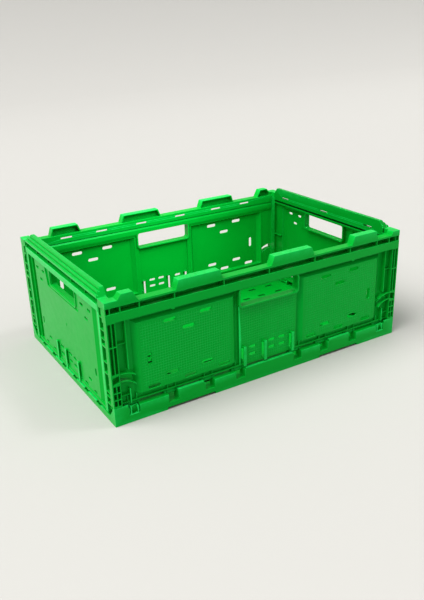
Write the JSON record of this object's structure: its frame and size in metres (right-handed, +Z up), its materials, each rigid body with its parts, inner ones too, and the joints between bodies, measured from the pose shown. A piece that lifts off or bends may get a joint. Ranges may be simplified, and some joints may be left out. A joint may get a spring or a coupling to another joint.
{
  "type": "collapsible storage crate",
  "caption": "Stackable open crate with fold-down side and end walls, hand holes, stacking tabs and a slotted floor.",
  "frame": {"origin": "middle of the base's underside, on the surface the crate stands on", "axes": "+Z up through the open mouth, X along the long walls, Y from the front long wall to the back one"},
  "size_m": [0.6, 0.4, 0.225],
  "materials": {
    "crate_plastic": "satin",
    "clip_plastic": "satin"
  },
  "bodies": {
    "base": {"base_tray": "crate_plastic", "hinge_clip_front_left": "clip_plastic", "hinge_clip_front_right": "clip_plastic", "hinge_clip_back_left": "clip_plastic", "hinge_clip_back_right": "clip_plastic"},
    "front_wall": {"long_wall_front": "crate_plastic"},
    "back_wall": {"long_wall_back": "crate_plastic"},
    "left_end": {"end_wall_left": "crate_plastic"},
    "right_end": {"end_wall_right": "crate_plastic"}
  },
  "joints": [
    {"name": "left_end_fold", "type": "hinge", "parent": "base", "child": "left_end", "pos_m": [-0.286, 0, 0.009], "axis": [0, 1, 0], "range_deg": [0, 90]},
    {"name": "right_end_fold", "type": "hinge", "parent": "base", "child": "right_end", "pos_m": [0.286, 0, 0.009], "axis": [0, -1, 0], "range_deg": [0, 90]},
    {"name": "front_wall_play", "type": "hinge", "parent": "base", "child": "front_wall", "pos_m": [0, -0.187, 0.027], "axis": [-1, 0, 0], "range_deg": [0, 0.5]},
    {"name": "back_wall_play", "type": "hinge", "parent": "base", "child": "back_wall", "pos_m": [0, 0.187, 0.027], "axis": [1, 0, 0], "range_deg": [0, 0.5]}
  ]
}
